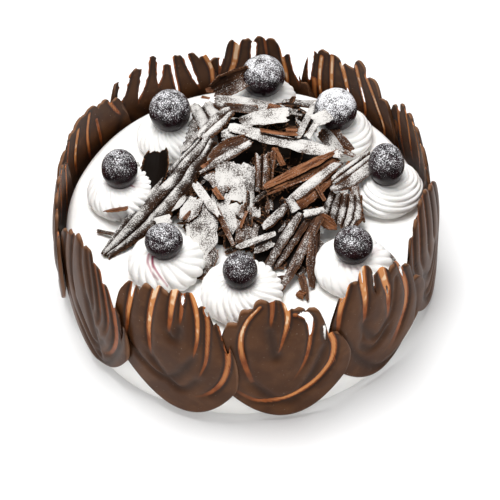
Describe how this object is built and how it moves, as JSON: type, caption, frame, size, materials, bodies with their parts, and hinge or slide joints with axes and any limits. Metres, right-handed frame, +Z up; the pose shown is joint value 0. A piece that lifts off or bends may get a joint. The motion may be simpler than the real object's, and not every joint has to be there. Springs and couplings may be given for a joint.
{
  "type": "black forest cake",
  "caption": "Round cream cake with cherry-topped rosettes, a heap of chocolate shavings and a ring of scalloped chocolate fans.",
  "frame": {"origin": "centre of the cake's flat base", "axes": "+Z up through the middle of the cake, -Y towards the front"},
  "size_m": [0.226, 0.2268, 0.099],
  "materials": {
    "cream": "soft satin whipped cream",
    "cherry": "glossy dark cherry skin dusted with icing sugar",
    "chocolate": "satin dark chocolate, thin and amber in the grooves",
    "shavings": "matt dark chocolate shavings dusted with icing sugar"
  },
  "bodies": {
    "root": {"cream_drum": "cream", "rosette_1": "cream", "rosette_2": "cream", "rosette_3": "cream", "rosette_4": "cream", "rosette_5": "cream", "rosette_6": "cream", "rosette_7": "cream", "rosette_8": "cream", "cherry_1": "cherry", "cherry_2": "cherry", "cherry_3": "cherry", "cherry_4": "cherry", "cherry_5": "cherry", "cherry_6": "cherry", "cherry_7": "cherry", "cherry_8": "cherry", "chocolate_fan_1": "chocolate", "chocolate_fan_2": "chocolate", "chocolate_fan_3": "chocolate", "chocolate_fan_4": "chocolate", "chocolate_fan_5": "chocolate", "chocolate_fan_6": "chocolate", "chocolate_fan_7": "chocolate", "chocolate_fan_8": "chocolate", "chocolate_fan_9": "chocolate", "chocolate_fan_10": "chocolate", "chocolate_fan_11": "chocolate", "shavings_heap": "shavings"}
  },
  "joints": []
}
